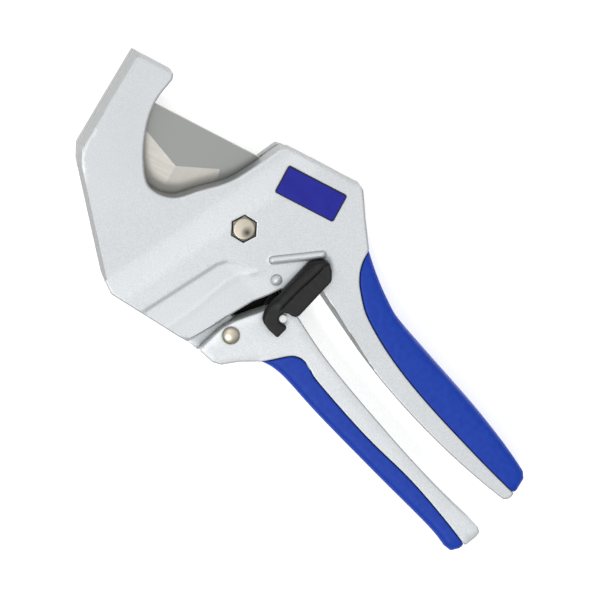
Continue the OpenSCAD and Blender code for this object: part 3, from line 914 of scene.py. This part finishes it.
def front_casting():
    """Three layers joined up, each with the CAD body's outline at its own height, and the ledge."""
    loops = slice_loops("front_body", 16)
    outer, holes = loops[0], loops[1:]
    extra = np.vstack([
        capsule_points(RIB_FROM, RIB_TO, [0.01, 0.45, 0.8, 1.1, 1.35, 1.5, 1.57, 1.61, 1.85, 2.15]),
        ring_points(BUMP_AT, [0.4, 0.8, 1.2, 1.6, 1.9, 2.1, 2.18, 2.22, 2.5]),
        np.array([BUMP_AT]),
        sides_of(UPPER_EDGE, (-1.1, -0.75, -0.5, -0.25, 0, 0.25, 0.5, 0.75, 1.1)),
        sides_of(LOWER_EDGE, (-2.2, -1.1, 0, 0.6, 1.2)),
        sides_of(LIP_EDGE, (-0.6, -0.35, -0.2, 0, 0.2, 0.35, 0.6)),
        sides_of([WALL_FROM, np.array(WALL_FROM) + 60 * WALL_ALONG], (0, 0.1)),
    ])
    body = plate(
        "front_casting", [outer] + holes, front_top(outer, holes), level(9.3),
        round_rings(CAST_ROUND) + [1.1, 1.3, 1.42], top_grid=1.5, extra=extra, step=1.2,
    )
    more = [prism("middle", g[:1], 8.75, 9.4) for g in areas(slice_loops("front_body", 9.15))]
    more += [plate("low", g[:1], level(8.8), rising(SEAM_Z, SEAM_ROUND), bottom_rings=SEAM_RINGS, step=3)
             for g in areas(slice_loops("front_body", 7.8))]
    more.append(plate("ledge", [np.array(LEDGE)], falling(LEDGE_Z, 0.4), rising(SEAM_Z, SEAM_ROUND),
                      [0.1, 0.25, 0.4], SEAM_RINGS, step=1.5))
    more.append(drafted_wall())
    more.append(prism("seat", [circle((0, 0), 7.5), circle((0, 0), BORE_R)], SPRING_ROOF, HEAD_SEAT))
    combine(body, more, "UNION")
    return combine(body, [prism("spring_room", [circle((0, 0), SPRING_R)], 8.0, SPRING_ROOF)], "DIFFERENCE")


# ---------------------------------------------------------------- rear casting
REAR_ROUND = 1.1
NUT_R, NUT_DEPTH = 6.5, 3.3
RIVET_SEAT_R, RIVET_SEAT_DEPTH, RIVET_BORE_R = 4.7, 1.6, 3.02
SCREW_HEAD_R, SCREW_R, SCREW_SINK = 3.8, 2.2, 2.19
POCKET_DEPTH = 1.6
# The back's holes are told apart by size: pockets by area, then the nut's and the rivet's recess by width
POCKET_AREA, NUT_WIDTH, RIVET_WIDTH = 250, 11, 8
# Walls round the bay have at least this area; smaller ones are its bosses
WALL_AREA = 300


def rear_casting():
    """The floor, the walls round the bay and its bosses, with the recesses and pockets of the back."""
    outer = slice_loops("rear_body", 3)[0]
    piece = plate("rear_casting", [outer], level(BAY_FLOOR), rising(0, REAR_ROUND),
                  bottom_rings=round_rings(REAR_ROUND), bottom_grid=6, step=1.5)
    walls = [g[:1] for g in areas(slice_loops("rear_body", 6.2)) if abs(area(g[0])) > WALL_AREA]
    more = [plate("up", g, falling(SEAM_Z, SEAM_ROUND), level(BAY_FLOOR - 0.1), SEAM_RINGS, step=3)
            for g in walls]
    boss_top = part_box("rear_body")[1].z / MM
    more += [prism("boss", g, BAY_FLOOR - 0.1, boss_top) for g in areas(slice_loops("rear_body", 7.6))]
    combine(piece, more, "UNION")
    sinks = []
    for hole in slice_loops("rear_body", 0.8)[1:]:
        centre, size = (hole.min(0) + hole.max(0)) / 2, float(np.ptp(hole[:, 0]))
        if abs(area(hole)) > POCKET_AREA:
            sinks.append(plate("pocket", [hole], falling(POCKET_DEPTH, 0.5), level(-1), [0.12, 0.28, 0.5],
                               step=1.5))
        elif size > NUT_WIDTH:
            sinks.append(prism("nut_recess", [circle(centre, NUT_R)], -1, NUT_DEPTH))
            sinks.append(prism("bolt_bore", [circle(centre, BORE_R)], -1, 9))
        elif size > RIVET_WIDTH:
            sinks.append(prism("rivet_seat", [circle(centre, RIVET_SEAT_R)], -1, RIVET_SEAT_DEPTH))
            sinks.append(prism("rivet_bore", [circle(centre, RIVET_BORE_R)], -1, 12))
        else:
            sinks.append(lathe("screw_sink", tuple(centre), [
                (0, -0.5), (SCREW_HEAD_R, -0.5), (SCREW_HEAD_R, 0), (SCREW_R, SCREW_SINK), (0, SCREW_SINK)
            ]))
    return combine(piece, sinks, "DIFFERENCE")


def paint_bay_shade(piece):
    """Painted shade: blackens the faces that look up inside the bay near the lever, where the deep gap lies
    in shade.
    """
    piece.data.materials.append(MATERIALS["bay_painted_shade"])
    for face in piece.data.polygons:
        height = face.center.z / MM - BAY_FLOOR
        near_lever = face.center.x / MM - BOLT[0] > 12 and face.center.y / MM - BOLT[1] < 8
        if near_lever and face.normal.z > 0.9 and (abs(height) < 0.2 or height > 2.2):
            face.material_index = 1


# ---------------------------------------------------------------- lever
# The arm's inner wall leans in, right of LEVER_ARM_X: it starts over ARM_BLEND, and reaches ARM_DEPTH in
LEVER_DRAFT, LEVER_ARM_X, ARM_BLEND, ARM_DEPTH = math.tan(math.radians(3.6)), 44, 6, 4
# Rooms for the lever's spring and the pawl: radius and top
LEVER_SPRING_ROOM, PAWL_ROOM = (4.9, 12.6), (4.2, 11.6)


def lever_casting():
    """Three layers joined up, as the front casting, with the arm's inner wall drafted."""
    loops = slice_loops("lever", 16)
    outer, holes = loops[0], [h for h in loops[1:] if abs(area(h)) > 20]
    free, beside = rim_parts(outer, LEVER_GRIP_LOOP)
    relief_z = LEDGE_Z + 0.3

    def top(xy, depth):
        z = np.full(len(xy), FACE_Z)
        z -= quarter_round(edge_distance(xy, free), CAST_ROUND)
        z -= quarter_round(edge_distance(xy, beside), 0.35)
        return z

    piece = plate("lever_casting", [outer] + holes, top, level(relief_z), round_rings(CAST_ROUND),
                  top_grid=3, step=1.2)
    more = [prism("middle", g, 9, relief_z + 0.05) for g in areas(slice_loops("lever", 13.9))]
    foot = slice_loops("lever", 3)[0]
    more.append(plate("foot", [foot], level(9.2), rising(1, 1.0), bottom_rings=round_rings(1.0), step=1.5))
    combine(piece, more, "UNION")
    rooms = [prism("room", [circle(middle_of(node), r)], 8, z)
             for node, (r, z) in (("lever_rivet", LEVER_SPRING_ROOM), ("pawl_pin", PAWL_ROOM))]
    combine(piece, rooms, "DIFFERENCE")
    edges = list(zip(outer, np.roll(outer, -1, axis=0)))
    arm = [(a, b) for a, b in edges
           if min(a[0], b[0]) > LEVER_ARM_X and (a - b)[0] > 0.9 * np.hypot(*(a - b))]
    xy = np.array([v.co[:2] for v in piece.data.vertices]) / MM - BOLT
    for v, d in zip(piece.data.vertices, edge_distance(xy, arm)):
        lean_in = LEVER_DRAFT * max(0, FACE_Z - CAST_ROUND - v.co.z / MM)
        start = (v.co.x / MM - BOLT[0] - LEVER_ARM_X) / ARM_BLEND
        v.co.y -= lean_in * min(1, max(0, start)) * max(0, 1 - d / ARM_DEPTH) * MM
    return piece


def middle_of(node):
    """Centre of a CAD node, in millimetres from the blade bolt."""
    lo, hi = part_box(node)
    return np.array([(lo.x + hi.x) / 2, (lo.y + hi.y) / 2]) / MM - BOLT


# ---------------------------------------------------------------- grips
# Radius of a grip's edges, the rows of points across them, and its crown's height and reach
GRIP_ROUND, GRIP_RINGS, GRIP_CROWN, CROWN_REACH = 2.8, [0.08, 0.25, 0.5, 0.85, 1.3, 1.9, 2.8], 0.5, 9


def grip(name, node, casting_node):
    """A crowned grip with rounded edges, tighter where it meets its casting."""
    outer = slice_loops(node, 15)[0]
    casting = slice_loops(casting_node, 16)[0]
    free, beside = rim_parts(outer, casting)
    lo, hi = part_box(node)
    z0, z1 = lo.z / MM, hi.z / MM

    def drop(xy):
        d = edge_distance(xy, free)
        fall = quarter_round(d, GRIP_ROUND) + GRIP_CROWN * np.clip(1 - d / CROWN_REACH, 0, 1) ** 2
        return fall + quarter_round(edge_distance(xy, beside), 0.5)

    return plate(name, [outer], lambda xy, d: z1 - drop(xy), lambda xy, d: z0 + drop(xy),
                 GRIP_RINGS, GRIP_RINGS, 1.8, 1.8, step=1.5)


# ---------------------------------------------------------------- latch
# Left of the crease the latch is a rounded ridge, and right of it a flat plane
CREASE = [(32.3, 12.6), (32.55, 10.9), (32.9, 0.6), (33.6, -8.9), (34.3, -12.0)]
LATCH_PLANE = LATCH_TOP - 0.45
# The ridge's crown lies this far left of the crease; how far it falls away to the left, over what width, and
# how far it falls to the crease
CROWN_X, RIDGE_FALL, RIDGE_WIDTH, CREASE_FALL = 1.25, 2.1, 3.4, 1.0
# Left edge of the hook: x at each distance below the bolt
HOOK_LEFT = ((7, 29.1), (11.1, 29.1), (15.2, 30), (18.1, 31.7), (19.0, 33.3))


def latch_piece():
    """The latch: a ridge and a plane that meet at the crease, and the hook."""
    outer = slice_loops("latch", 20)[0]
    crease = np.array(CREASE)

    def top(xy, depth):
        line_x = np.interp(-xy[:, 1], -crease[:, 1], crease[:, 0])
        u = line_x - xy[:, 0]
        over = np.clip((u - CROWN_X) / RIDGE_WIDTH, 0, 1)
        under = np.clip((CROWN_X - u) / CROWN_X, 0, 1)
        ridge = LATCH_TOP - RIDGE_FALL * (1 - np.sqrt(np.clip(1 - over**2, 0, 1)))
        ridge -= CREASE_FALL * (1 - np.sqrt(np.clip(1 - under**2.2, 0, 1)))
        z = np.where(u > 0, ridge, LATCH_PLANE - 0.55 * np.clip(1 + u / 0.3, 0, 1))
        low = np.clip((-9.0 - xy[:, 1]) / 2.5, 0, 1)
        z = z * (1 - low) + LATCH_PLANE * low
        rim = 1.3 * quarter_round(depth, 0.8) / 0.8
        hook_left = np.interp(-xy[:, 1], *zip(*HOOK_LEFT))
        flank = 1.8 * quarter_round(np.clip(xy[:, 0] - hook_left, 0, None), 1.5) / 1.5
        return z - np.maximum(rim, np.where(xy[:, 1] < -7, flank, 0))

    rows = (-1.6, -0.9, -0.55, -0.32, -0.28, -0.15, -0.03, 0.03, 0.12, 0.3, 0.6, 1.0, 1.4, 1.9)
    hook = plate("latch_lever", [outer], top, rising(19.6, 0.4), [0.05, 0.15, 0.32, 0.55, 0.8, 1.2],
                 [0.15, 0.4], 0.6, 3, step=0.7, extra=sides_of(CREASE, rows))
    combine(hook, [prism("foot", [slice_loops("latch", 19)[0]], 18.3, 20)], "UNION")
    smooth(hook, 55)
    return hook


# ---------------------------------------------------------------- fasteners
# Blade bolt: half its width across flats, its turn, its shank's radius (the rivet's too), and the shallow
# dish off the middle of its head
BOLT_FLAT, HEX_TURN, SHANK_R = 4.5, math.radians(16), 3
DIMPLE_AT, DIMPLE_R, DIMPLE_DEPTH = (1.9, 0.0), 2.4, 0.05


def bolt_head():
    turns = [HEX_TURN + k * math.pi / 3 for k in range(6)]
    corner = np.array([(math.cos(t), math.sin(t)) for t in turns]) * BOLT_FLAT / math.cos(math.pi / 6)
    top_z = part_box("blade_bolt")[1].z / MM

    def top(xy, depth):
        r = np.hypot(xy[:, 0], xy[:, 1])
        from_dimple = np.hypot(*(xy - np.array(DIMPLE_AT)).T) / DIMPLE_R
        z = top_z - 0.6 * np.clip(r - 4.35, 0, None) - 0.006 * r**2 - 0.5 * quarter_round(4.4 - r, 0.5)
        return z - DIMPLE_DEPTH * np.clip(1 - from_dimple**2, 0, 1) ** 2

    radii = [0.01, 0.4, 0.8, 1.2, 1.6, 2.0, 2.4, 2.8, 3.2, 3.6, 3.9, 4.05, 4.2, 4.3, 4.4, 4.5]
    head = plate("bolt_head", [corner], top, level(HEAD_SEAT + 0.1), [0.1],
                 extra=ring_points((0, 0), radii, 40), step=0.5)
    shank = lathe("shank", (0, 0), [(0, 0.3), (SHANK_R, 0.3), (SHANK_R, 14.2), (0, 14.2)])
    combine(head, [shank], "UNION")
    smooth(head, 45)
    return head


def rivet_head():
    lo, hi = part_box("lever_rivet")
    r, top_z, base = (hi.x - lo.x) / 2 / MM, hi.z / MM, FACE_Z + 0.05
    rim_z = base + 0.35
    turns = [k / 10 * math.pi / 2 for k in range(11)]
    dome = [(r * math.sin(t), rim_z + (top_z - rim_z) * math.cos(t)) for t in turns]
    shank = [(r, base), (SHANK_R, base), (SHANK_R, 1.6), (r, 1.6), (r, 0.5), (r - 0.3, 0.3), (0, 0.3)]
    return lathe("rivet", middle_of("lever_rivet"), dome + shank)


# The lever's peg: its place, radius, the radius of its foot, and its top
PEG_AT, PEG_R, PEG_FOOT_R, PEG_TOP = (37.55, -12.15), 1.6, 1.7, 21.6


def peg():
    """Domed post on the lever that the latch hooks round."""
    turns = [k / 6 * math.pi / 2 for k in range(7)]
    dome = [(PEG_R * math.sin(t), PEG_TOP - 0.35 * (1 - math.cos(t))) for t in turns]
    foot = [(PEG_R, 18.9), (PEG_FOOT_R, 18.6), (PEG_FOOT_R, FACE_Z - 1), (0, FACE_Z - 1)]
    return lathe("latch_peg", PEG_AT, dome + foot, 32)


# ---------------------------------------------------------------- label and blade
# The label's middle, turn, size and the width of its dark border
LABEL_AT, LABEL_TURN, LABEL_SIZE = (7.1, 29.2), math.radians(20.6), (26.8, 12.2)
LABEL_EDGE = 0.5


def label_outline(inset, corner_r):
    """A rounded rectangle, inset from the label's edge."""
    w, h = LABEL_SIZE[0] / 2 - inset - corner_r, LABEL_SIZE[1] / 2 - inset - corner_r
    out = []
    for quarter, (sx, sy) in enumerate(((1, 1), (-1, 1), (-1, -1), (1, -1))):
        for k in range(5):
            t = math.pi / 2 * (quarter + k / 4)
            out.append((sx * w + corner_r * math.cos(t), sy * h + corner_r * math.sin(t)))
    c, s = math.cos(LABEL_TURN), math.sin(LABEL_TURN)
    return np.array([(LABEL_AT[0] + c * x - s * y, LABEL_AT[1] + s * x + c * y) for x, y in out])


def label(name, inset, corner_r, z0, z1, soft):
    return plate(name, [label_outline(inset, corner_r)], falling(z1, soft), level(z0),
                 [0.03, 0.08, soft, 0.16, 0.5], (), 2.5, step=1.5)


def cutting_blade():
    """The CAD blade, with crisp lines where its bevels meet its flats."""
    piece = clean_copy("blade", "cutting_blade")
    bm = bmesh.new()
    bm.from_mesh(piece.data)
    for edge in bm.edges:
        if len(edge.link_faces) == 2:
            level_faces = all(abs(f.normal.z) > 0.9 for f in edge.link_faces)
            edge.smooth = edge.calc_face_angle(0) < math.radians(2 if level_faces else 25)
    bm.to_mesh(piece.data)
    bm.free()
    return piece


# ---------------------------------------------------------------- assembly
slot_of = {s["node"]: s["material_slot"] for s in frame["record"]["subparts"]}
place(front_casting(), "body", "cast_alloy", "front_body")
paint_bay_shade(place(rear_casting(), "body", "cast_alloy", "rear_body"))
place(lever_casting(), "lever", "cast_alloy", "lever", look="lever_alloy_lit")
place(grip("fixed_grip_skin", "fixed_grip", "front_body"), "body", "grip_rubber", "fixed_grip")
place(grip("lever_grip_skin", "lever_grip", "lever"), "lever", "grip_rubber", "lever_grip")
place(latch_piece(), "latch", "latch_plastic", "latch")
place(bolt_head(), "body", "plated_steel", "blade_bolt", look="bolt_face")
place(rivet_head(), "body", "plated_steel", "lever_rivet")
place(peg(), "lever", "cast_alloy", look="peg_paint")
place(cutting_blade(), "blade", "blade_steel", "blade")
label_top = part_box("label_plate")[1].z / MM
border = label("label_border", 0, 1.0, FACE_Z, label_top - 0.08, 0.12)
place(border, "body", "label", "label_plate", look="label_edge")
place(label("label_face", LABEL_EDGE, 0.7, FACE_Z + 0.1, label_top, 0.12), "body", "label")
for name, node in nodes.items():
    if not node.hide_render:
        node.data.materials.clear()
        node.data.materials.append(MATERIALS[slot_of[name]])
